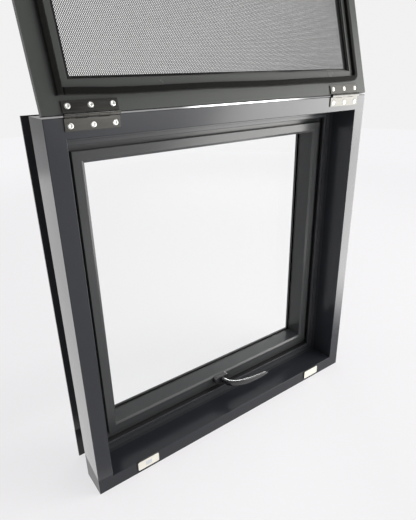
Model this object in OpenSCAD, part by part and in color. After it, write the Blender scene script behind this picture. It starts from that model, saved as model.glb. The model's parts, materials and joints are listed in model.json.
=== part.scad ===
// Top hung awning window with an upward opening insect screen.
// The room is on the -Y side, outdoors is on the +Y side, and +Z is up.
// The origin lies on the flat face of the outdoor flange that bears on the wall,
// midway along its bottom bar and midway across that bar's bearing width.

/* [Frame] */
// Width of the window over the room side box
frame_w = 500; // [440:1:700]
// Height of the window over the room side box
frame_h = 501; // [440:1:700]
// Width of the room side face of the box
face_w = 21.5; // [20:0.5:24]
// Depth of the room side box
box_d = 43.5; // [40:0.5:60]
// Thickness of the wall that the box and the outdoor flange clamp
wall_t = 39; // [38:0.5:60]
// Distance that the outdoor flange stays inside the outline of the box
flange_inset = 2; // [1:0.5:4]
// Thickness of the outdoor flange and of the frame's thin walls
flange_t = 2.5; // [2:0.1:3]
// Distance from the outline to the outside of the throat that passes the wall
throat_inset = 16.5; // [15:0.5:17]
// Distance from the outline to the inner edge of the stop lip
lip_inset = 34.5; // [33:0.5:36]
// Thickness of the stop lip
lip_t = 3.5; // [3:0.1:4]
// Wall thickness of the hollow bars of frame, sash and beads
bar_wall = 1.6; // [1.2:0.1:2]

/* [Sash] */
// Distance from the outline to the sash at the head and the jambs
sash_inset = 24; // [24:0.5:26]
// Distance from the bottom of the box to the bottom of the sash
sash_drop = 29; // [28:0.5:30]
// Width of a sash bar, from its outer edge to the glass opening
sash_bar_w = 32; // [30:0.5:40]
// Depth of a sash bar behind the stop lip
sash_d = 31; // [31:0.5:50]
// Width of the outer part of a sash bar that lies behind the stop lip
sash_rebate_w = 17.5; // [16:0.5:18]
// Height of the sash's inner part over its outer part
sash_step = 7; // [6.5:0.5:8]
// Width of a glazing bead
bead_w = 11.5; // [10:0.5:12]
// Thickness of the glass
glass_t = 4; // [3:0.5:6]
// Opening angle of the sash that the joint reaches
sash_open = 45; // [20:1:60]

/* [Screen] */
// Backwards lean of the opened screen past upright
screen_lean = 15.7; // [5:0.1:16]
// Thickness of the screen's frame
screen_t = 6.5; // [5:0.1:7]
// Width of the flat bars of the screen's frame
screen_bar_w = 32.4; // [30:0.2:40]
// Width that the screen's back lip adds inside the bars
screen_lip_w = 4.9; // [4:0.1:6]
// Distance from the screen's edge to its foam seal
seal_inset = 18.4; // [17:0.1:19]
// Width of the foam seal
seal_w = 7.2; // [6:0.1:8]
// Height of the foam seal
seal_t = 4.2; // [3.5:0.1:4.3]
// Wall thickness of the screen's hollow bars
screen_wall = 1.2; // [1:0.1:1.6]

/* [Screen hinges] */
// Distance from the side of the box to the middle of the nearest hinge
hinge_from_side = 51; // [48:0.5:70]
// Length of a hinge leaf
leaf_l = 60.5; // [50:0.5:70]
// Thickness of a hinge leaf
leaf_t = 1.5; // [1:0.1:1.6]
// Distance from the hinge axis to the free edge of a leaf
leaf_reach = 15; // [12:0.5:16]
// Outer radius of a hinge knuckle
knuckle_r = 2.5; // [2.3:0.1:2.6]
// Radius of a hinge pin
pin_r = 1.2; // [1:0.1:1.4]
// Distance between neighbouring screw holes in a leaf
screw_pitch = 24.3; // [20:0.1:26]
// Diameter of a screw hole in a leaf
screw_d = 3.4; // [3:0.1:4]
// Distance from the hinge axis to the screw holes
screw_reach = 9.7; // [8:0.1:11]

/* [Handle and magnets] */
// Distance from the handle's turning axis to the tip of its blade
blade_l = 78.5; // [60:0.5:90]
// Distance that the handle's tip stands off its base
blade_off = 29; // [27:0.5:30]
// Height of the handle's blade
blade_h = 10.4; // [9:0.1:11]
// Width of a magnet on the sill
magnet_w = 34; // [30:1:40]
// Height of a magnet on the sill
magnet_h = 14.5; // [12:0.5:16]
// Distance from the side of the box to the middle of the nearest magnet
magnet_from_side = 76.5; // [60:0.5:100]

/* [Hidden] */
$fn = 64;

flange_y = box_d + wall_t;
seat_step = 2;
seat_y = box_d - seat_step;
edge_c = 0.6;
origin_z = (flange_inset + throat_inset) / 2;
far = 1000;
running_gap = 0.05;
side_gap = 0.3;

lip_set_back = 3.5;
sash_set_back = 3;
lip_y = box_d + lip_set_back;
lip_back_y = lip_y + lip_t;
sash_face_y = lip_y + sash_set_back;
sash_rebate_y = sash_face_y + sash_step;
sash_back_y = sash_rebate_y + sash_d;
sash_w = frame_w - 2 * sash_inset;
sash_h = frame_h - sash_inset - sash_drop;
glass_lip_t = 3.5;
gasket_t = 1;
glass_back_y = sash_back_y - glass_lip_t - gasket_t;
glass_y = glass_back_y - glass_t;
bead_back_y = glass_y - gasket_t;
bead_start = sash_bar_w - bead_w;
glass_cover = 8;
glass_inset = sash_bar_w - glass_cover;

screen_h = frame_h - 1;
axis_rise = 1.5;
screen_axis_y = -2.6;
screen_axis_z = frame_h + axis_rise;
screen_face = 2.1;
screen_edge = 2.05;
screen_low_z = screen_axis_z - screen_edge - screen_h;
screen_angle = 180 + screen_lean;
mesh_t = 0.8;
mesh_depth = 3.6;
mesh_bar = 4;
mesh_count = 12;
spline_w = 1.6;
spline_depth = 1.6;

sash_axis_off = 5;
sash_axis_drop = 16;
sash_axis_y = flange_y + flange_t + sash_axis_off;
sash_axis_z = frame_h - sash_axis_drop;
sash_knuckle_r = 4;
sash_pin_r = 2;
sash_hinge_end = 11;
sash_hinge_l = sash_w - 2 * sash_hinge_end;
sash_leaf_t = 2;
frame_leaf_reach = 13;
sash_leaf_reach = 24;
knuckle_gap = 0.6;

hinge_x = frame_w / 2 - hinge_from_side;
magnet_x = frame_w / 2 - magnet_from_side;
magnet_t = 2;
case_rim = 0.8;
case_t = 1.6;
case_floor = 0.4;
case_gap = 0.35;
corner_r = 2;
magnet_mid_z = face_w - case_rim - magnet_h / 2;

handle_x = -2;
handle_z = 53.5;
base_w = 30;
base_h = 13;
base_t = 8;
base_y = sash_face_y - base_t;
neck_half_w = 3.5;
neck_slim = 1.2;
tip_half_w = 2;
tip_half_h = 1.8;
tip_flat = 0.05;
blade_end = 0.96;
arch = 1;
droop = 2.5;
metal = [0.10, 0.10, 0.11];
steel = [0.55, 0.55, 0.56];
black_rubber = [0.04, 0.04, 0.04];

// Puts a shape given from the middle of the box's bottom front edge into the part's frame
module from_front_edge() {
    translate([0, -flange_y, -origin_z]) children();
}

// Puts a shape given from the screen's hinge axis, screen closed, into its opened place
module on_open_screen() {
    from_front_edge()
        translate([0, screen_axis_y, screen_axis_z])
            rotate([-screen_angle, 0, 0])
                children();
}

// A bottom bar cut to mitres. Section and chamber list [y, distance from the outline].
module mitred_bar(length, section, chamber, reach) {
    intersection() {
        rotate([90, 0, 90])
            translate([0, 0, -length / 2])
                linear_extrude(length)
                    difference() {
                        polygon(section);
                        if (len(chamber) > 0) polygon(chamber);
                    }
        rotate([90, 0, 0])
            translate([0, 0, -far])
                linear_extrude(2 * far)
                    polygon([
                        [-length / 2, 0],
                        [length / 2, 0],
                        [length / 2 - reach, reach],
                        [-length / 2 + reach, reach]
                    ]);
    }
}

// One bar of a frame of width w and height h that stands on z = 0
module frame_bar(side, w, h, section, chamber, reach) {
    if (side == "bottom")
        mitred_bar(w, section, chamber, reach);
    if (side == "top")
        translate([0, 0, h]) mirror([0, 0, 1]) mitred_bar(w, section, chamber, reach);
    if (side == "left")
        translate([-w / 2, 0, h / 2])
            rotate([0, 90, 0])
                mitred_bar(h, section, chamber, reach);
    if (side == "right")
        mirror([1, 0, 0])
            translate([-w / 2, 0, h / 2])
                rotate([0, 90, 0])
                    mitred_bar(h, section, chamber, reach);
}

// Corners of a rectangle with two opposite corners a and b
function corners(a, b) = [a, [b[0], a[1]], b, [a[0], b[1]]];

// Flat plate in the window's plane with rounded corners, centred on its middle
module rounded_plate(w, h, t, r) {
    rotate([90, 0, 0])
        linear_extrude(t) {
            square([w - 2 * r, h], center = true);
            square([w, h - 2 * r], center = true);
            for (x = [-1, 1], z = [-1, 1])
                translate([x * (w / 2 - r), z * (h / 2 - r)]) circle(r);
        }
}

// A flat ring in the window's plane, of width w and height h over the outside
module flat_ring(w, h, y_near, y_far, inset, ring_w) {
    difference() {
        translate([-w / 2 + inset, y_near, inset])
            cube([w - 2 * inset, y_far - y_near, h - 2 * inset]);
        translate([-w / 2 + inset + ring_w, y_near - 1, inset + ring_w])
            cube([w - 2 * (inset + ring_w), y_far - y_near + 2, h - 2 * (inset + ring_w)]);
    }
}

// Hollow bar of the room side box, with a step at its back that seats the outdoor part
module room_bar(side) {
    section = [
        [0, edge_c],
        [edge_c, 0],
        [box_d, 0],
        [box_d, throat_inset],
        [seat_y, throat_inset],
        [seat_y, face_w],
        [edge_c, face_w],
        [0, face_w - edge_c]
    ];
    chamber = [
        [bar_wall, bar_wall],
        [box_d - bar_wall, bar_wall],
        [box_d - bar_wall, throat_inset - bar_wall],
        [seat_y - bar_wall, throat_inset - bar_wall],
        [seat_y - bar_wall, face_w - bar_wall],
        [bar_wall, face_w - bar_wall]
    ];
    color(metal)
        from_front_edge()
            frame_bar(side, frame_w, frame_h, section, chamber, face_w);
}

// Outdoor part of the frame: throat through the wall, stop lip and outdoor flange
module outer_bar(side) {
    throat_in = throat_inset + flange_t;
    flange_back = flange_y + flange_t;
    groove_w = 0.9;
    groove_d = 0.7;
    groove_o = lip_inset - 4.6;
    section = [
        [seat_y, throat_inset],
        [seat_y, face_w],
        [lip_y, face_w],
        [lip_y, groove_o - groove_w],
        [lip_y + groove_d, groove_o - groove_w],
        [lip_y + groove_d, groove_o],
        [lip_y, groove_o],
        [lip_y, lip_inset - edge_c],
        [lip_y + edge_c, lip_inset],
        [lip_back_y, lip_inset],
        [lip_back_y, throat_in],
        [flange_back, throat_in],
        [flange_back, flange_inset],
        [flange_y, flange_inset],
        [flange_y, throat_inset]
    ];
    color(metal)
        from_front_edge()
            frame_bar(side, frame_w, frame_h, section, [], lip_inset);
}

module in_sash() {
    from_front_edge() translate([0, 0, sash_drop]) children();
}

// Hollow sash bar with a rebate for glass and bead, open to the room
module sash_bar(side) {
    lip_near = sash_back_y - glass_lip_t;
    section = [
        [sash_rebate_y, 0],
        [sash_rebate_y, sash_rebate_w],
        [sash_face_y + edge_c, sash_rebate_w],
        [sash_face_y, sash_rebate_w + edge_c],
        [sash_face_y, bead_start],
        [lip_near, bead_start],
        [lip_near, sash_bar_w],
        [sash_back_y, sash_bar_w],
        [sash_back_y, 0]
    ];
    chamber = corners(
        [sash_rebate_y + bar_wall, bar_wall],
        [sash_back_y - bar_wall, bead_start - bar_wall]
    );
    color(metal) in_sash() frame_bar(side, sash_w, sash_h, section, chamber, sash_bar_w);
}

// Hollow glazing bead with a sloped inner edge
module bead(side) {
    bevel_w = 3.25;
    bevel_d = 2;
    section = [
        [sash_face_y, bead_start],
        [sash_face_y, sash_bar_w - bevel_w],
        [sash_face_y + bevel_d, sash_bar_w],
        [bead_back_y, sash_bar_w],
        [bead_back_y, bead_start]
    ];
    chamber = corners(
        [sash_face_y + bevel_d + bar_wall, bead_start + bar_wall],
        [bead_back_y - bar_wall, sash_bar_w - bar_wall]
    );
    color(metal) in_sash() frame_bar(side, sash_w, sash_h, section, chamber, sash_bar_w);
}

module glass_pane() {
    pane_w = sash_w - 2 * glass_inset;
    pane_h = sash_h - 2 * glass_inset;
    color([0.8, 0.9, 0.9, 0.3])
        in_sash()
            translate([-pane_w / 2, glass_y, glass_inset])
                cube([pane_w, glass_t, pane_h]);
}

// Two thin rubber rings, one on each face of the glass
module glazing_gasket() {
    gasket_show = 0.5;
    ring_w = glass_cover + gasket_show;
    color(black_rubber)
        in_sash() {
            flat_ring(sash_w, sash_h, bead_back_y, glass_y, glass_inset, ring_w);
            flat_ring(sash_w, sash_h, glass_back_y, glass_back_y + gasket_t, glass_inset, ring_w);
        }
}

// Rubber ring on the sash that closes against the stop lip
module weather_gasket() {
    closing_gap = 0.5;
    ring_inset = 1;
    ring_w = 4;
    color(black_rubber)
        in_sash()
            flat_ring(
                sash_w, sash_h, lip_back_y + closing_gap, sash_rebate_y, ring_inset, ring_w
            );
}

// Shape given in a closed screen: z down from its top edge, y from its seal face to the room
module on_screen() {
    on_open_screen()
        translate([0, -screen_face, -screen_edge - screen_h])
            children();
}

// Hollow bar of the screen's frame with a thin lip at the back that carries the mesh
module screen_bar(side) {
    reach = screen_bar_w + screen_lip_w;
    step_y = -mesh_depth - mesh_t;
    section = [
        [0, 0],
        [0, screen_bar_w],
        [step_y, screen_bar_w],
        [step_y, reach],
        [-screen_t, reach],
        [-screen_t, 0]
    ];
    chamber = corners(
        [-screen_wall, screen_wall],
        [-screen_t + screen_wall, screen_bar_w - screen_wall]
    );
    color(metal) on_screen() frame_bar(side, frame_w, screen_h, section, chamber, reach);
}

// Plain grid that stands for the fine mesh, with a hem that lies on the bars' back lip
module screen_mesh() {
    mesh_w = frame_w - 2 * screen_bar_w;
    mesh_h = screen_h - 2 * screen_bar_w;
    hem = screen_lip_w + mesh_bar;
    hole_w = (mesh_w - 2 * hem + mesh_bar) / mesh_count - mesh_bar;
    hole_h = (mesh_h - 2 * hem + mesh_bar) / mesh_count - mesh_bar;
    color([0.12, 0.12, 0.12])
        on_screen()
            translate([-mesh_w / 2, -mesh_depth, screen_bar_w])
                rotate([90, 0, 0])
                    linear_extrude(mesh_t)
                        difference() {
                            square([mesh_w, mesh_h]);
                            for (i = [0 : mesh_count - 1], k = [0 : mesh_count - 1])
                                translate([
                                    hem + i * (hole_w + mesh_bar),
                                    hem + k * (hole_h + mesh_bar)
                                ])
                                    square([hole_w, hole_h]);
                        }
}

// Thin cord that holds the mesh in the corner between the bars and their back lip
module screen_spline() {
    color(black_rubber)
        on_screen()
            flat_ring(frame_w, screen_h, -mesh_depth, -spline_depth, screen_bar_w, spline_w);
}

// Foam strip all round, notched where it would lie on the magnets of the closed screen
module screen_seal() {
    notch_w = magnet_w + 2 * (case_rim + case_gap);
    notch_top = face_w + case_gap - screen_low_z;
    color(black_rubber)
        on_screen()
            difference() {
                flat_ring(frame_w, screen_h, 0, seal_t, seal_inset, seal_w);
                for (x = [-magnet_x, magnet_x])
                    translate([x - notch_w / 2, -1, seal_inset - 1])
                        cube([notch_w, seal_t + 2, notch_top - seal_inset + 1]);
            }
}

// Start along X of each of the five knuckles of a hinge of length l
function knuckle_x(i, l) = -l / 2 + i * (l + side_gap) / 5;
function knuckle_l(l) = (l + side_gap) / 5 - side_gap;

// Hinge leaf whose plate lies at y_plate beside an axis through the origin, reaching down
module plain_leaf(l, first, r, bore_r, y_plate, t, reach) {
    plate_top = -r - knuckle_gap;
    difference() {
        union() {
            translate([-l / 2, y_plate, -reach])
                cube([l, t, reach + plate_top]);
            for (i = [first : 2 : 4])
                translate([knuckle_x(i, l), 0, 0]) {
                    rotate([0, 90, 0])
                        cylinder(h = knuckle_l(l), r = r);
                    translate([0, y_plate, plate_top - 0.1])
                        cube([knuckle_l(l), t, -plate_top]);
                }
        }
        translate([-l / 2 - 1, 0, 0])
            rotate([0, 90, 0])
                cylinder(h = l + 2, r = bore_r);
    }
}

// Leaf of a screen hinge, with a row of screw holes
module screen_hinge_leaf(first, y_plate) {
    difference() {
        plain_leaf(leaf_l, first, knuckle_r, pin_r + running_gap, y_plate, leaf_t, leaf_reach);
        for (i = [-1 : 1])
            translate([i * screw_pitch, y_plate - 1, -screw_reach])
                rotate([-90, 0, 0])
                    cylinder(h = leaf_t + 2, d = screw_d);
    }
}

module hinge_pin(l, r) {
    translate([-l / 2, 0, 0]) rotate([0, 90, 0]) cylinder(h = l, r = r);
}

module at_screen_axis(x) {
    from_front_edge() translate([x, screen_axis_y, screen_axis_z]) children();
}

module frame_leaf(x) {
    color(steel) at_screen_axis(x) screen_hinge_leaf(0, -screen_axis_y - leaf_t);
}

module screen_leaf(x) {
    color(steel)
        on_open_screen()
            translate([x, 0, 0])
                screen_hinge_leaf(1, -screen_face);
}

module screen_pin(x) {
    color(steel) at_screen_axis(x) hinge_pin(leaf_l, pin_r);
}

// Places a plate on the face of the sill, around the middle of the magnet at x
module at_magnet(x, y) {
    from_front_edge() translate([x, y, magnet_mid_z]) children();
}

// Magnet that stands a little proud of its case
module magnet(x) {
    color(steel)
        at_magnet(x, -case_floor)
            rounded_plate(magnet_w, magnet_h, magnet_t - case_floor, corner_r);
}

// Shallow black case that holds a magnet on the sill
module magnet_case(x) {
    case_w = magnet_w + 2 * case_rim;
    case_h = magnet_h + 2 * case_rim;
    color(black_rubber)
        at_magnet(x, 0)
            difference() {
                rounded_plate(case_w, case_h, case_t, corner_r + case_rim);
                translate([0, -case_floor, 0])
                    rounded_plate(magnet_w, magnet_h, case_t, corner_r);
            }
}

// Steel plate on the screen that meets a magnet when the screen is closed
module catch_plate(x) {
    plate_t = 1.5;
    color(steel)
        on_screen()
            translate([x, plate_t, magnet_mid_z - screen_low_z])
                rounded_plate(magnet_w, magnet_h, plate_t, corner_r);
}

// Rose of the handle with round ends, on the middle of the bottom rail
module handle_base() {
    color(metal)
        from_front_edge()
            translate([handle_x, sash_face_y, handle_z])
                rounded_plate(base_w, base_h, base_t, base_h / 2 - 0.5);
}

function bezier(p, t) =
    pow(1 - t, 3) * p[0] + 3 * t * pow(1 - t, 2) * p[1] + 3 * t * t * (1 - t) * p[2]
    + pow(t, 3) * p[3];
function bezier_slope(p, t) =
    pow(1 - t, 2) * (p[1] - p[0]) + 2 * t * (1 - t) * (p[2] - p[1]) + t * t * (p[3] - p[2]);

// Signed power, which squares off the corners of an ellipse
function squared(v) = sign(v) * pow(abs(v), 2 / 3);

// Closed ring of the lever at station t, in the plane across its route
function lever_ring(t, route, sides) =
    let (
        middle = bezier(route, t),
        slope = bezier_slope(route, t),
        across = [-slope[1], slope[0]] / norm(slope),
        past_blade = max(0, t - blade_end) / (1 - blade_end),
        tip = sqrt(1 - (1 - tip_flat) * pow(past_blade, 2)),
        half_w = tip * (neck_half_w + (tip_half_w - neck_half_w) * t),
        swell = (blade_h / 2 - tip_half_h) * (1 - pow(t, 8)),
        half_h = tip * (tip_half_h + swell - neck_slim * pow(1 - t, 6)),
        rise = arch * sin(180 * t) - droop * t
    )
    [
        for (i = [0 : sides - 1])
            let (
                a = 360 * i / sides,
                u = half_w * squared(cos(a))
            )
            [
                middle[0] + u * across[0],
                middle[1] + u * across[1],
                rise + half_h * squared(sin(a))
            ]
    ];

// Solid lofted through rings of as many points each
module loft(rings) {
    sides = len(rings[0]);
    last = (len(rings) - 1) * sides;
    polyhedron(
        points = [for (ring = rings) each ring],
        faces = [
            [for (i = [0 : sides - 1]) i],
            [for (i = [sides - 1 : -1 : 0]) last + i],
            for (k = [0 : len(rings) - 2], i = [0 : sides - 1])
                let (a = k * sides, j = (i + 1) % sides)
                [a + i, a + sides + i, a + sides + j, a + j]
        ]
    );
}

// Lever that curves out of its hub and tapers along the rail to a soft tip
module handle_lever() {
    hub_r = 4.6;
    hub_l = 3;
    hub_gap = 0.5;
    route = [[0, 0], [0, -21], [13, -32.5], [blade_l, -blade_off]];
    color(metal)
        from_front_edge()
            translate([handle_x, base_y - hub_gap, handle_z]) {
                rotate([90, 0, 0])
                    cylinder(h = hub_l, r = hub_r);
                loft([for (i = [0 : 24]) lever_ring(sin(90 * i / 24), route, 16)]);
            }
}

module at_sash_axis() {
    from_front_edge() translate([0, sash_axis_y, sash_axis_z]) children();
}

module sash_hinge_frame_leaf() {
    plate_y = flange_y + flange_t - sash_axis_y;
    color(metal)
        at_sash_axis()
            mirror([0, 0, 1])
                plain_leaf(
                    sash_hinge_l, 0, sash_knuckle_r, sash_pin_r + running_gap, plate_y,
                    sash_leaf_t, frame_leaf_reach
                );
}

module sash_hinge_sash_leaf() {
    plate_y = sash_back_y - sash_axis_y;
    color(metal)
        at_sash_axis()
            plain_leaf(
                sash_hinge_l, 1, sash_knuckle_r, sash_pin_r + running_gap, plate_y,
                sash_leaf_t, sash_leaf_reach
            );
}

module sash_hinge_pin() {
    color(steel) at_sash_axis() hinge_pin(sash_hinge_l, sash_pin_r);
}

room_bar("top");  // room_head
room_bar("bottom");  // room_sill
room_bar("left");  // room_left_jamb
room_bar("right");  // room_right_jamb
outer_bar("top");  // outer_head
outer_bar("bottom");  // outer_sill
outer_bar("left");  // outer_left_jamb
outer_bar("right");  // outer_right_jamb
sash_bar("top");  // sash_top_rail
sash_bar("bottom");  // sash_bottom_rail
sash_bar("left");  // sash_left_stile
sash_bar("right");  // sash_right_stile
bead("top");  // bead_top
bead("bottom");  // bead_bottom
bead("left");  // bead_left
bead("right");  // bead_right
glass_pane();
glazing_gasket();
weather_gasket();
screen_bar("top");  // screen_top_rail
screen_bar("bottom");  // screen_bottom_rail
screen_bar("left");  // screen_left_stile
screen_bar("right");  // screen_right_stile
screen_mesh();
screen_spline();
screen_seal();
frame_leaf(-hinge_x);  // left_frame_leaf
frame_leaf(hinge_x);  // right_frame_leaf
screen_leaf(-hinge_x);  // left_screen_leaf
screen_leaf(hinge_x);  // right_screen_leaf
screen_pin(-hinge_x);  // left_hinge_pin
screen_pin(hinge_x);  // right_hinge_pin
magnet(-magnet_x);  // left_magnet
magnet(magnet_x);  // right_magnet
magnet_case(-magnet_x);  // left_magnet_case
magnet_case(magnet_x);  // right_magnet_case
catch_plate(-magnet_x);  // left_catch_plate
catch_plate(magnet_x);  // right_catch_plate
handle_base();
handle_lever();
sash_hinge_frame_leaf();
sash_hinge_sash_leaf();
sash_hinge_pin();
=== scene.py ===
"""Looks of the top hung awning window with its insect screen hinged up.

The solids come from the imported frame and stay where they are. This script gives them
their finishes and adds what is too fine for the solids: the strands of the insect mesh,
the fuzzy foam seal, the screws of the screen hinges and the small plate on the left magnet.
Lengths are in metres in the frame's own axes: +X right, +Y outdoors, +Z up.
"""

import json
import math
from collections import namedtuple

import bmesh
import bpy
from mathutils import Matrix, Vector, noise

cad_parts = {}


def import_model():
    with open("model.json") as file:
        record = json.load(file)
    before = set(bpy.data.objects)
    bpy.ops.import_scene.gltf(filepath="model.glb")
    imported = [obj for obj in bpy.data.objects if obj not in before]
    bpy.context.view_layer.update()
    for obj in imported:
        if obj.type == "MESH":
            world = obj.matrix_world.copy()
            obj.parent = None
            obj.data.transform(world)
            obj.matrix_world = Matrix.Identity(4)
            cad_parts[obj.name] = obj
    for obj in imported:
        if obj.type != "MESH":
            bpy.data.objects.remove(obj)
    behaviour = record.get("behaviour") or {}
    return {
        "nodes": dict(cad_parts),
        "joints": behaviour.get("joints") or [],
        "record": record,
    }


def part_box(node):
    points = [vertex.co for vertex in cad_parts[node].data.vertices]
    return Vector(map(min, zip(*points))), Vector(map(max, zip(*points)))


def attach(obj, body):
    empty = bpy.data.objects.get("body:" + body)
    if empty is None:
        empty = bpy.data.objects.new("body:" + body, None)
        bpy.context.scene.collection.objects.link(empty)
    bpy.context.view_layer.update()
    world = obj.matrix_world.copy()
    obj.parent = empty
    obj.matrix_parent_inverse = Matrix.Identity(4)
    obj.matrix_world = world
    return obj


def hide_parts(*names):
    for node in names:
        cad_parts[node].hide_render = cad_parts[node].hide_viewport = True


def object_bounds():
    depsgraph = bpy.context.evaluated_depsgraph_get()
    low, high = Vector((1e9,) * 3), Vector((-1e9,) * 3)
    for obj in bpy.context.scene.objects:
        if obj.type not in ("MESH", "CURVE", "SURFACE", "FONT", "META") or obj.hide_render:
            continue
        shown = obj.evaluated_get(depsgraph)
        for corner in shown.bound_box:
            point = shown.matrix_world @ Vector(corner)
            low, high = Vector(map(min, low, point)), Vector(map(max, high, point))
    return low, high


MM = 0.001

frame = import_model()
bpy.context.scene.view_settings.view_transform = "Standard"
cad_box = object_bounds()
joints = {joint["name"]: joint for joint in frame["joints"]}

# Camera, from a fit of the box's corners in the photo
CAMERA_AT = Vector((-0.3877, -0.5410, 0.53345))
CAMERA_RIGHT = Vector((0.8062, -0.5912, -0.0199))
CAMERA_BACK = Vector((-0.5382, -0.7471, 0.3900))
CAMERA_LENS = 31.27
CAMERA_SENSOR = 36.0
CAMERA_SEES = (0.01, 100)

# Floor and room. The floor glows by itself for the camera, less so near the object, whose shadow it keeps
FLOOR_BASE = (0.82, 0.81, 0.82, 1)
FLOOR_PALE = (0.915, 0.904, 0.920, 1)
FLOOR_RADIUS = 4.0
FLOOR_GAP = 0.3 * MM
FLOOR_GLOW = 0.74
FLOOR_FADE = (0.8, 2.6)
ROOM_PALE = (0.885, 0.885, 0.885, 1)
ROOM_GLOW = 0.86
FRONT = Vector((-0.30, -0.93, 0.05))
FRONT_GLOW = 0.42
FRONT_FADE = (0.1, 0.85)

# Lamps. The glow is the brightness of a lamp's face, and over its rim, a share of its size, it fades out
Lamp = namedtuple("Lamp", "name place facing size glow colour rim through_glass", defaults=(False,))
LAMPS = (
    Lamp(
        name="side_panel",
        place=(1.02, -0.685, 0.345),
        facing=(-0.270, 0.212, 0.938),
        size=(1.10, 1.95),
        glow=8.5,
        colour=(1, 0.985, 0.96),
        rim=0.11,
    ),
    Lamp(
        name="upper_panel",
        place=(1.026, -1.309, 0.70),
        facing=(-0.643, 0.766, -0.20),
        size=(2.3, 1.1),
        glow=3.0,
        colour=(1, 0.99, 0.96),
        rim=0.2,
    ),
    Lamp(
        name="left_panel",
        place=(-0.468, 0.275, 0.146),
        facing=(0.055, -0.312, 0.949),
        size=(0.40, 0.91),
        glow=0.88,
        colour=(1, 0.985, 0.975),
        rim=0.07,
    ),
    Lamp(
        name="glint",
        place=(0.95, -0.60, 1.60),
        facing=(0, 0.35, -0.94),
        size=(1.60, 0.14),
        glow=22,
        colour=(1, 1, 1),
        rim=0.2,
    ),
    Lamp(
        name="back_glint",
        place=(1.25, 1.38, 0.71),
        facing=(-0.61, -0.72, -0.33),
        size=(0.70, 0.50),
        glow=9,
        colour=(1, 1, 1),
        rim=0.3,
        through_glass=True,
    ),
    Lamp(
        name="overhead",
        place=(0.1, -0.4, 2.2),
        facing=(0, 0.15, -1),
        size=(1.8, 1.8),
        glow=0.6,
        colour=(0.96, 0.98, 1),
        rim=0.3,
    ),
)

# Screen, measured from its hinge axis
AXIS = Vector(joints["screen_hinge"]["pos_m"])
LEAN = math.radians(joints["screen_hinge"]["range_deg"][1] - 180)
SCREEN_UP = Vector((0, math.sin(LEAN), math.cos(LEAN)))
SCREEN_OUT = Vector((0, math.cos(LEAN), -math.sin(LEAN)))
SEAL_FACE = 2.1 * MM
SCREEN_EDGE = 2.05 * MM
HALF_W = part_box("screen_bottom_rail")[1].x
SCREEN_H = 500 * MM
BAR_W = 32.4 * MM

# Foam seal
SEAL_INSET = 18.4 * MM
SEAL_W = 7.2 * MM
SEAL_T = 4.2 * MM
SEAL_CORNER = 6 * MM
SEAL_CORNER_STEPS = 8
SEAL_STEP = 1.6 * MM
SEAL_END_GAP = 0.3 * MM
SEAL_SOFT = 1.3 * MM
SEAL_SOFT_STEPS = 3
SEAL_SHOULDER = 0.35
SAG = 1.7 * MM
SAG_RUN = 60 * MM
SAG_WAVE = 0.2
SAG_WAVE_RUN = 31 * MM
NOTCH_W = 36.3 * MM
NOTCH_D = 3.0 * MM
MAGNET_X = (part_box("right_magnet")[0].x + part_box("right_magnet")[1].x) / 2
FINE_FUZZ = (900, 0.16 * MM)
COARSE_FUZZ = (140, 0.22 * MM)

# Insect mesh, whose lower edge has pulled out of its place towards the right
STRAND_PITCH = 2.25 * MM
ROW_PITCH = 1.63 * MM
STRAND_SLOPE = STRAND_PITCH / 2 / ROW_PITCH
STRAND_R = 0.31 * MM
STRAND_SIDES = 6
SHORT_STRAND = 2 * MM
EDGE_STRAND_R = 0.33 * MM
EDGE_STEPS = 160
MESH_DEPTH = (3.86 * MM, 4.12 * MM)
MESH_MARGIN = 0.6 * MM
MESH_FOOT = 33.4 * MM
PULL = 2.9 * MM
PULL_FROM = -110 * MM
PULL_RUN = 90 * MM
LONG_WAVE = (0.45 * MM, 23 * MM)
SHORT_WAVE = (0.35 * MM, 9.5 * MM)

# Screws of the screen hinges. Radii and leaf are in millimetres, turns in degrees
SCREW_PITCH = 24.3 * MM
SCREW_REACH = 9.7 * MM
FRAME_LEAF_FACE = 1.1 * MM
SCREEN_LEAF_FACE = 0.6 * MM
LEAF_T = 1.5
HEAD_R = 3.2
SHANK_R = 1.55
SCREW_SEGMENTS = 40
SCREW_TURN = 17
SCREW_NEXT_TURN = 31

# Plate on the left magnet. Each layer has its inset and its rise
INSERT_W = 10 * MM
INSERT_H = 7 * MM
INSERT_CORNER = 0.8 * MM
INSERT_CORNER_STEPS = 4
INSERT_LAYERS = ((0, 0), (0, 0.10 * MM), (0.08 * MM, 0.15 * MM))

# Fine edges of the solids
EDGE_ROUND = 0.22 * MM
EDGE_ANGLE = 40
NO_EDGES = {"glass_pane", "screen_mesh", "screen_seal"}

# Numbers of the sockets of a colour mix
MIX_FIRST = 6
MIX_SECOND = 7
MIX_RESULT = 2


def link(obj):
    bpy.context.scene.collection.objects.link(obj)
    return obj


def new_piece(name, mesh, material, smooth=True):
    """A linked object round a finished bmesh, with its material."""
    data = bpy.data.meshes.new(name)
    bmesh.ops.recalc_face_normals(mesh, faces=mesh.faces)
    mesh.to_mesh(data)
    mesh.free()
    data.materials.append(material)
    for polygon in data.polygons:
        polygon.use_smooth = smooth
    return link(bpy.data.objects.new(name, data))


def skin(bm, rings):
    """Closed skin over rings of as many points each."""
    for first, second in zip(rings, rings[1:]):
        for i in range(len(first)):
            j = (i + 1) % len(first)
            bm.faces.new((first[i], first[j], second[j], second[i]))
    bm.faces.new(rings[0])
    bm.faces.new(rings[-1][::-1])


def on_screen(x, height, depth):
    """A point of the opened screen: height above its lower edge, depth behind its seal face."""
    return AXIS + Vector((x, 0, 0)) + SCREEN_UP * (height + SCREEN_EDGE) + SCREEN_OUT * (depth + SEAL_FACE)


# Node trees


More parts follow.
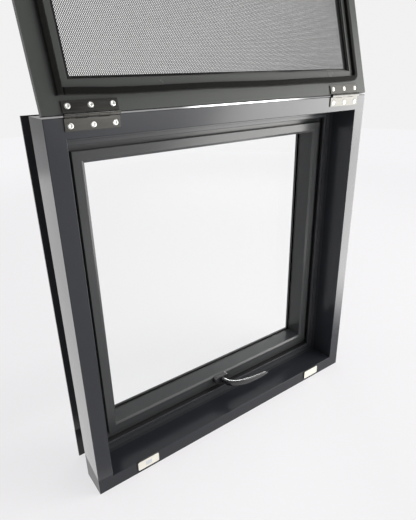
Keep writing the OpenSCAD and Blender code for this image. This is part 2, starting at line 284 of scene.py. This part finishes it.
class Tree:
    """Short ways to add and join the nodes of one tree."""

    def __init__(self, tree):
        self.tree = tree

    def add(self, kind, **values):
        node = self.tree.nodes.new(kind)
        for key, value in values.items():
            setattr(node, key, value)
        return node

    def join(self, start, end):
        self.tree.links.new(start, end)

    def calculate(self, operation, *values):
        """Result of one calculation with outputs and plain numbers."""
        node = self.add("ShaderNodeMath", operation=operation)
        for socket, value in zip(node.inputs, values):
            if isinstance(value, float):
                socket.default_value = value
            else:
                self.join(value, socket)
        return node.outputs[0]

    def fitted(self, value, given, wanted, way="LINEAR"):
        """The value, moved from the given range to the wanted one."""
        node = self.add("ShaderNodeMapRange", interpolation_type=way)
        for name, number in zip(("From Min", "From Max", "To Min", "To Max"), (*given, *wanted)):
            node.inputs[name].default_value = number
        self.join(value, node.inputs["Value"])
        return node.outputs["Result"]

    def blend(self, share, first, second, end):
        """Joins two shaders to an output: the first, and the second by its share."""
        node = self.add("ShaderNodeMixShader")
        for start, socket in zip((share, first, second), node.inputs):
            self.join(start, socket)
        self.join(node.outputs[0], end)


class Finish(Tree):
    """One material with its principled shader."""

    def __init__(self, name):
        self.material = bpy.data.materials.new(name)
        self.material.use_nodes = True
        super().__init__(self.material.node_tree)
        self.shader = self.tree.nodes["Principled BSDF"]
        self.surface = self.tree.nodes["Material Output"].inputs["Surface"]
        self.place = self.add("ShaderNodeTexCoord").outputs["Object"]

    def set(self, **values):
        for key, value in values.items():
            self.shader.inputs[key.replace("_", " ")].default_value = value

    def stretched(self, scale):
        mapping = self.add("ShaderNodeMapping")
        mapping.inputs["Scale"].default_value = scale
        self.join(self.place, mapping.inputs["Vector"])
        return mapping.outputs["Vector"]

    def noise(self, scale, detail, stretch=None):
        node = self.add("ShaderNodeTexNoise")
        node.inputs["Scale"].default_value = scale
        node.inputs["Detail"].default_value = detail
        self.join(self.stretched(stretch) if stretch else self.place, node.inputs["Vector"])
        return node.outputs["Fac"]

    def spread(self, value, low=0.0, high=1.0):
        """The middle half of a noise's values, spread from low to high."""
        return self.fitted(value, (0.25, 0.75), (low, high))

    def colour(self, share, first, second):
        node = self.add("ShaderNodeMix", data_type="RGBA")
        node.inputs[MIX_FIRST].default_value = (*first, 1)
        node.inputs[MIX_SECOND].default_value = (*second, 1)
        self.join(share, node.inputs[0])
        self.join(node.outputs[MIX_RESULT], self.shader.inputs["Base Color"])

    def rough(self, value, low, high):
        self.join(self.spread(value, low, high), self.shader.inputs["Roughness"])

    def bump(self, value, strength, distance):
        node = self.add("ShaderNodeBump")
        node.inputs["Strength"].default_value = strength
        node.inputs["Distance"].default_value = distance
        self.join(value, node.inputs["Height"])
        self.join(node.outputs["Normal"], self.shader.inputs["Normal"])


# Finishes


def satin_black(name, dark, light, rough):
    """Powder coat: near black, with cloudy gloss and a fine orange peel."""
    n = Finish(name)
    n.set(IOR=1.37)
    n.colour(n.spread(n.noise(9.0, 4.0)), dark, light)
    n.rough(n.noise(26.0, 5.0), rough - 0.012, rough + 0.018)
    n.bump(n.noise(1500.0, 2.0), 0.12, 0.02 * MM)
    return n.material


def rubber_black(name):
    n = Finish(name)
    n.colour(n.noise(60.0, 4.0), (0.010, 0.010, 0.010), (0.020, 0.020, 0.020))
    n.rough(n.noise(120.0, 3.0), 0.45, 0.62)
    n.bump(n.noise(900.0, 3.0), 0.25, 0.05 * MM)
    return n.material


def foam_black(name):
    """Open foam: no shine, with dark pores and a paler fuzz."""
    n = Finish(name)
    pores = n.add("ShaderNodeTexVoronoi")
    pores.inputs["Scale"].default_value = 1500.0
    n.join(n.place, pores.inputs["Vector"])
    n.colour(pores.outputs["Distance"], (0.0010, 0.0010, 0.0008), (0.0045, 0.0045, 0.0040))
    n.set(Roughness=0.95, Sheen_Weight=0.05, Sheen_Roughness=0.6, Specular_IOR_Level=0.05)
    n.bump(pores.outputs["Distance"], 0.6, 0.25 * MM)
    return n.material


def dark_steel(name):
    """Black nickel plated steel, brushed along the hinge."""
    n = Finish(name)
    brushed = n.noise(700.0, 3.0, stretch=(0.05, 1.0, 1.0))
    n.colour(n.spread(brushed), (0.050, 0.049, 0.046), (0.070, 0.069, 0.065))
    n.set(Metallic=1.0)
    n.rough(brushed, 0.16, 0.22)
    n.bump(brushed, 0.06, 0.02 * MM)
    return n.material


def bright_steel(name):
    n = Finish(name)
    n.colour(n.noise(400.0, 3.0), (0.52, 0.52, 0.50), (0.66, 0.66, 0.64))
    n.set(Metallic=0.75)
    n.rough(n.noise(700.0, 2.0), 0.26, 0.40)
    n.bump(n.noise(1600.0, 2.0), 0.1, 0.02 * MM)
    return n.material


def cream_plate(name):
    n = Finish(name)
    n.colour(n.noise(90.0, 4.0), (0.76, 0.735, 0.665), (0.82, 0.80, 0.73))
    n.rough(n.noise(240.0, 3.0), 0.28, 0.42)
    n.bump(n.noise(1200.0, 2.0), 0.08, 0.02 * MM)
    return n.material


def grey_plate(name):
    n = Finish(name)
    n.colour(n.noise(700.0, 3.0), (0.50, 0.52, 0.56), (0.66, 0.67, 0.70))
    n.rough(n.noise(500.0, 2.0), 0.35, 0.5)
    return n.material


def gloss_black(name, rough):
    n = Finish(name)
    n.colour(n.noise(40.0, 3.0), (0.012, 0.012, 0.014), (0.018, 0.018, 0.020))
    n.rough(n.noise(160.0, 4.0), rough - 0.03, rough + 0.06)
    n.set(Coat_Weight=0.6, Coat_Roughness=0.05)
    n.bump(n.noise(320.0, 2.0), 0.05, 0.03 * MM)
    return n.material


def clear_glass(name):
    """Glass that lets the lamps through, with a faint green body and fine dust."""
    n = Finish(name)
    n.set(Transmission_Weight=1.0, IOR=1.05)
    n.colour(n.noise(3.0, 2.0), (0.980, 0.992, 0.985), (0.990, 0.998, 0.993))
    n.rough(n.noise(14.0, 5.0), 0.0, 0.03)
    clear = n.add("ShaderNodeBsdfTransparent")
    clear.inputs["Color"].default_value = (0.92, 0.94, 0.93, 1)
    shadow = n.add("ShaderNodeLightPath").outputs["Is Shadow Ray"]
    n.blend(shadow, n.shader.outputs["BSDF"], clear.outputs["BSDF"], n.surface)
    return n.material


# Solids


def finish_of_slots():
    """The finish of each material slot of the record."""
    return {
        "frame_black": satin_black("frame_coat", (0.0195, 0.0210, 0.0255), (0.0220, 0.0235, 0.0282), 0.19),
        "sash_black": satin_black("sash_coat", (0.0345, 0.0358, 0.0375), (0.0400, 0.0413, 0.0430), 0.22),
        "screen_black": satin_black("screen_coat", (0.0380, 0.0412, 0.0390), (0.0430, 0.0462, 0.0435), 0.26),
        "mesh": satin_black("strand_black", (0.010, 0.010, 0.010), (0.018, 0.018, 0.018), 0.42),
        "glass": clear_glass("pane_glass"),
        "rubber": rubber_black("gasket_rubber"),
        "foam": foam_black("seal_foam"),
        "steel": dark_steel("hinge_plate"),
        "nickel": bright_steel("catch_steel"),
        "handle_black": gloss_black("handle_gloss", 0.09),
        "case_black": gloss_black("case_gloss", 0.3),
    }


def dress_solids(finishes):
    """Gives every solid of the frame its finish, and its edges a fine bevel."""
    slots = {part["node"]: part["material_slot"] for part in frame["record"]["subparts"]}
    for name, obj in frame["nodes"].items():
        obj.data.materials.clear()
        obj.data.materials.append(finishes[slots[name]])
        if name not in NO_EDGES:
            bevel = obj.modifiers.new("edges", "BEVEL")
            bevel.width = EDGE_ROUND
            bevel.segments = 2
            bevel.limit_method = "ANGLE"
            bevel.angle_limit = math.radians(EDGE_ANGLE)
            bevel.harden_normals = True


def dress_magnets():
    cream = cream_plate("magnet_cream")
    for side in ("left", "right"):
        frame["nodes"][f"{side}_magnet"].data.materials[0] = cream


# The outer frame gets a lighter copy of the frame's powder coat: painted light that lifts the shade in the
# throat behind the room-side box.
def paint_light_on_outdoor_part():
    coat = satin_black("outdoor_coat_painted_light", (0.0310, 0.0325, 0.0360), (0.0380, 0.0395, 0.0430), 0.25)
    for side in ("head", "sill", "left_jamb", "right_jamb"):
        frame["nodes"][f"outer_{side}"].data.materials[0] = coat


# Foam seal


def seal_path():
    """Centre line of the foam, up the left side, round and back along the bottom."""
    left = -HALF_W + SEAL_INSET + SEAL_W / 2
    right = -left
    low = SEAL_INSET + SEAL_W / 2
    high = SCREEN_H - low
    corners = [((left, high), 180, 90), ((right, high), 90, 0), ((right, low), 0, -90)]
    points = [(left, SEAL_INSET), (left, high - SEAL_CORNER)]
    for (x, y), first, last in corners:
        centre_x = x - SEAL_CORNER * math.copysign(1, x)
        centre_y = y - SEAL_CORNER * math.copysign(1, y - SCREEN_H / 2)
        for i in range(SEAL_CORNER_STEPS + 1):
            a = math.radians(first + (last - first) * i / SEAL_CORNER_STEPS)
            points.append((centre_x + SEAL_CORNER * math.cos(a), centre_y + SEAL_CORNER * math.sin(a)))
    points.append((left + SEAL_W / 2 + SEAL_END_GAP, low))
    return points


def evenly(points, step):
    """Points every step along a line of points, with their directions."""
    found = []
    for (x0, y0), (x1, y1) in zip(points, points[1:]):
        length = math.hypot(x1 - x0, y1 - y0)
        if length < 1e-7:
            continue
        along = ((x1 - x0) / length, (y1 - y0) / length)
        count = max(1, round(length / step))
        for i in range(count):
            t = i / count
            found.append(((x0 + (x1 - x0) * t, y0 + (y1 - y0) * t), along))
    found.append((points[-1], found[-1][1]))
    return found


def sagged(x, y):
    """Height of the foam's middle line, whose lower run hangs down between its corners."""
    if y > SEAL_INSET + SEAL_W:
        return y
    from_corner = min(1.0, (HALF_W - SEAL_INSET - abs(x)) / SAG_RUN)
    wave = SAG_WAVE * math.sin(x / SAG_WAVE_RUN)
    return y - SAG * max(0.0, from_corner) * (1 + wave)


def notched(x, y, across):
    """Across the strip, moved inwards where the foam is cut out round a magnet."""
    if y < SCREEN_H / 2 or abs(abs(x) - MAGNET_X) > NOTCH_W / 2:
        return across
    half = SEAL_W / 2
    return -half + (across + half) * (SEAL_W - NOTCH_D) / SEAL_W


def seal_profile():
    """Outline across the strip: flat foot, straight sides and soft shoulders."""
    half = SEAL_W / 2
    side = [(half, 0.0), (half, SEAL_T * SEAL_SHOULDER)]
    for i in range(SEAL_SOFT_STEPS + 1):
        a = math.radians(90 * i / SEAL_SOFT_STEPS)
        across = half - SEAL_SOFT + SEAL_SOFT * math.cos(a)
        side.append((across, SEAL_T - SEAL_SOFT + SEAL_SOFT * math.sin(a)))
    side.append((half * SEAL_SHOULDER, SEAL_T))
    return [(-x, height) for x, height in side] + side[::-1]


def fuzz_at(point):
    return sum(noise.noise(point * scale) * size for scale, size in (FINE_FUZZ, COARSE_FUZZ))


def foam_seal(material):
    """Foam strip with soft edges and a fuzzy, slightly wavy face."""
    profile = seal_profile()
    bm = bmesh.new()
    rings = []
    for (x, level), (dx, dy) in evenly(seal_path(), SEAL_STEP):
        y = sagged(x, level)
        ring = []
        for full_across, height in profile:
            across = notched(x, y, full_across)
            fuzz = fuzz_at(Vector((x - dy * across, y + dx * across, height)))
            lift = height / SEAL_T
            across *= 1 + fuzz / (SEAL_W / 2) * lift
            sunk = height - abs(fuzz) * lift
            ring.append(bm.verts.new(on_screen(x - dy * across, y + dx * across, -sunk)))
        rings.append(ring)
    skin(bm, rings)
    piece = new_piece("foam_strip", bm, material)
    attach(piece, "screen")
    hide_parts("screen_seal")


# Insect mesh


def add_rod(bm, start, end, radius):
    """A straight closed rod between two points of the screen."""
    along = (end - start).normalized()
    across = along.cross(SCREEN_OUT).normalized()
    rings = []
    for centre in (start, end):
        ring = []
        for i in range(STRAND_SIDES):
            a = 2 * math.pi * i / STRAND_SIDES
            ring.append(bm.verts.new(centre + (across * math.cos(a) + SCREEN_OUT * math.sin(a)) * radius))
        rings.append(ring)
    skin(bm, rings)


def mesh_low(x):
    """Height of the mesh's lower edge."""
    pulled = min(1.0, max(0.0, (x - PULL_FROM) / PULL_RUN))
    wave = LONG_WAVE[0] * math.sin(x / LONG_WAVE[1]) + SHORT_WAVE[0] * math.sin(x / SHORT_WAVE[1] + 1)
    return MESH_FOOT + pulled * (PULL + wave)


def strands(side, low, high):
    """Foot of each slanting strand of one layer, with the heights at which it starts and ends."""
    run = (high - low) * STRAND_SLOPE
    for i in range(int((2 * side + run) / STRAND_PITCH) + 1):
        foot = -side - run + (i + 0.5) * STRAND_PITCH
        start = max(low, low + (-side - foot) / STRAND_SLOPE)
        end = min(high, low + (side - foot) / STRAND_SLOPE)
        if end - start >= SHORT_STRAND:
            yield foot, start, end


def insect_mesh(material):
    """Two layers of crossing strands, whose diamonds stand in staggered rows, and the lower edge."""
    side = HALF_W - BAR_W - MESH_MARGIN
    high = SCREEN_H - BAR_W - MESH_MARGIN
    low = BAR_W + MESH_MARGIN
    bm = bmesh.new()
    for turn, depth in zip((1, -1), MESH_DEPTH):
        for foot, start, end in strands(side, low, high):
            start_x = foot + (start - low) * STRAND_SLOPE
            start = max(start, mesh_low(turn * start_x))
            start_x = foot + (start - low) * STRAND_SLOPE
            end_x = foot + (end - low) * STRAND_SLOPE
            start_at = on_screen(turn * start_x, start, depth)
            end_at = on_screen(turn * end_x, end, depth)
            add_rod(bm, start_at, end_at, STRAND_R)
    places = []
    for i in range(EDGE_STEPS + 1):
        x = -side + 2 * side * i / EDGE_STEPS
        places.append(on_screen(x, mesh_low(x), sum(MESH_DEPTH) / 2))
    for start, end in zip(places, places[1:]):
        add_rod(bm, start, end, EDGE_STRAND_R)
    piece = new_piece("insect_mesh", bm, material)
    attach(piece, "screen")
    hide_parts("screen_mesh")


# Screws


def screw_mesh():
    """A low pan head with a round socket, over its shank, along +Z. The outline is in millimetres."""
    outline = [
        (0.70, 0.10),
        (1.48, 0.12),
        (1.58, 0.62),
        (1.70, 0.72),
        (2.36, 0.75),
        (2.60, 0.62),
        (2.70, 0.36),
        (2.74, 0.10),
        (HEAD_R, 0.06),
        (HEAD_R, 0.0),
        (SHANK_R, 0.0),
        (SHANK_R, -LEAF_T),
    ]
    bm = bmesh.new()
    rings = []
    for r, height in outline:
        ring = []
        for i in range(SCREW_SEGMENTS):
            a = 2 * math.pi * i / SCREW_SEGMENTS
            ring.append(bm.verts.new((r * math.cos(a) * MM, r * math.sin(a) * MM, height * MM)))
        rings.append(ring)
    skin(bm, rings)
    return bm


def hinge_screws(material):
    """Three screws in each leaf of the two screen hinges."""
    leaves = {
        "frame": (Vector((0, FRAME_LEAF_FACE, -SCREW_REACH)), Vector((0, -1, 0))),
        "screen": (SCREEN_UP * SCREW_REACH + SCREEN_OUT * SCREEN_LEAF_FACE, -SCREEN_OUT),
    }
    for side in ("left", "right"):
        low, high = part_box(f"{side}_frame_leaf")
        middle = (low.x + high.x) / 2
        for body, (from_axis, outward) in leaves.items():
            upright = outward.to_track_quat("Z", "Y").to_matrix().to_4x4()
            for i in (-1, 0, 1):
                place = AXIS + Vector((middle + i * SCREW_PITCH, 0, 0)) + from_axis
                turn = Matrix.Rotation(math.radians(SCREW_TURN + SCREW_NEXT_TURN * i), 4, "Z")
                piece = new_piece(f"{side}_{body}_screw_{i + 2}", screw_mesh(), material)
                piece.matrix_world = Matrix.Translation(place) @ upright @ turn
                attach(piece, body)


# Magnet


def rounded_outline(width, height, radius):
    """Points round a rectangle with round corners."""
    points = []
    for sx, sy, first in ((1, 1, 0), (-1, 1, 90), (-1, -1, 180), (1, -1, 270)):
        for i in range(INSERT_CORNER_STEPS + 1):
            a = math.radians(first + 90 * i / INSERT_CORNER_STEPS)
            x = sx * (width / 2 - radius) + radius * math.cos(a)
            y = sy * (height / 2 - radius) + radius * math.sin(a)
            points.append((x, y))
    return points


def magnet_insert(material):
    """A thin pale plate with soft edges in the middle of the left magnet."""
    low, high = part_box("left_magnet")
    middle = (low + high) / 2
    bm = bmesh.new()
    rings = []
    for inset, rise in INSERT_LAYERS:
        outline = rounded_outline(INSERT_W - 2 * inset, INSERT_H - 2 * inset, INSERT_CORNER)
        rings.append([bm.verts.new((middle.x + x, low.y - rise, middle.z + z)) for x, z in outline])
    skin(bm, rings)
    piece = new_piece("left_magnet_insert", bm, material, smooth=False)
    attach(piece, "frame")


# Camera, room and lamps


def camera():
    data = bpy.data.cameras.new("camera")
    data.lens = CAMERA_LENS
    data.sensor_width = CAMERA_SENSOR
    data.clip_start, data.clip_end = CAMERA_SEES
    obj = link(bpy.data.objects.new("camera", data))
    back = CAMERA_BACK.normalized()
    up = back.cross(CAMERA_RIGHT).normalized()
    right = up.cross(back)
    obj.matrix_world = Matrix.Translation(CAMERA_AT) @ Matrix((right, up, back)).transposed().to_4x4()
    bpy.context.scene.camera = obj


def world():
    """A pale room all round, dimmer in front, where the viewer stands."""
    made = bpy.data.worlds.new("room")
    bpy.context.scene.world = made
    made.use_nodes = True
    n = Tree(made.node_tree)
    seen = n.tree.nodes["Background"]
    seen.inputs["Color"].default_value = ROOM_PALE
    light = n.add("ShaderNodeBackground")
    frontal = n.add("ShaderNodeVectorMath", operation="DOT_PRODUCT")
    frontal.inputs[1].default_value = FRONT.normalized()
    n.join(n.add("ShaderNodeTexCoord").outputs["Generated"], frontal.inputs[0])
    glow = n.fitted(frontal.outputs["Value"], FRONT_FADE, (ROOM_GLOW, FRONT_GLOW), "SMOOTHSTEP")
    n.join(glow, light.inputs["Strength"])
    path = n.add("ShaderNodeLightPath").outputs
    straight = n.calculate("MAXIMUM", path["Is Camera Ray"], path["Is Transmission Ray"])
    n.blend(straight, light.outputs[0], seen.outputs[0], n.tree.nodes["World Output"].inputs["Surface"])


def floor():
    """A round pale floor just under the object."""
    bm = bmesh.new()
    bmesh.ops.create_circle(bm, cap_ends=True, segments=96, radius=FLOOR_RADIUS)
    n = Finish("pale_floor")
    n.set(Base_Color=FLOOR_BASE, Roughness=0.9, Specular_IOR_Level=0.1)
    glow = n.add("ShaderNodeEmission")
    glow.inputs["Color"].default_value = FLOOR_PALE
    path = n.add("ShaderNodeLightPath").outputs
    straight = n.calculate("MAXIMUM", path["Is Camera Ray"], path["Is Glossy Ray"])
    seen = n.calculate("MAXIMUM", straight, path["Is Transmission Ray"])
    away = n.add("ShaderNodeVectorMath", operation="LENGTH")
    n.join(n.place, away.inputs[0])
    share = n.fitted(away.outputs["Value"], FLOOR_FADE, (FLOOR_GLOW, 1.0), "SMOOTHSTEP")
    glowing = n.calculate("MULTIPLY", seen, share)
    n.blend(glowing, n.shader.outputs["BSDF"], glow.outputs["Emission"], n.surface)
    obj = new_piece("floor", bm, n.material, smooth=False)
    obj.location = (0, 0, cad_box[0].z - FLOOR_GAP)


def area_light(lamp):
    """A soft box that lights the object and shows in its gloss, but not to the camera."""
    data = bpy.data.lights.new(lamp.name, "AREA")
    data.shape = "RECTANGLE"
    data.size, data.size_y = lamp.size
    data.energy = lamp.glow * lamp.size[0] * lamp.size[1] * math.pi
    data.color = lamp.colour
    data.use_nodes = True
    n = Tree(data.node_tree)
    split = n.add("ShaderNodeSeparateXYZ")
    n.join(n.add("ShaderNodeNewGeometry").outputs["Parametric"], split.inputs[0])
    fades = []
    for axis in ("X", "Y"):
        from_middle = n.calculate("ABSOLUTE", n.calculate("SUBTRACT", split.outputs[axis], 0.5))
        fades.append(n.fitted(from_middle, (0.5 - lamp.rim, 0.5), (1.0, 0.0), "SMOOTHSTEP"))
    n.join(n.calculate("MULTIPLY", *fades), n.tree.nodes["Emission"].inputs["Strength"])
    obj = link(bpy.data.objects.new(lamp.name, data))
    obj.location = lamp.place
    obj.rotation_mode = "QUATERNION"
    obj.rotation_quaternion = Vector(lamp.facing).to_track_quat("-Z", "Y")
    obj.visible_camera = False
    obj.visible_transmission = lamp.through_glass


camera()
world()
floor()
for lamp in LAMPS:
    area_light(lamp)

finishes = finish_of_slots()
dress_solids(finishes)
dress_magnets()
paint_light_on_outdoor_part()
foam_seal(finishes["foam"])
insect_mesh(finishes["mesh"])
hinge_screws(bright_steel("screw_steel"))
magnet_insert(grey_plate("insert_grey"))
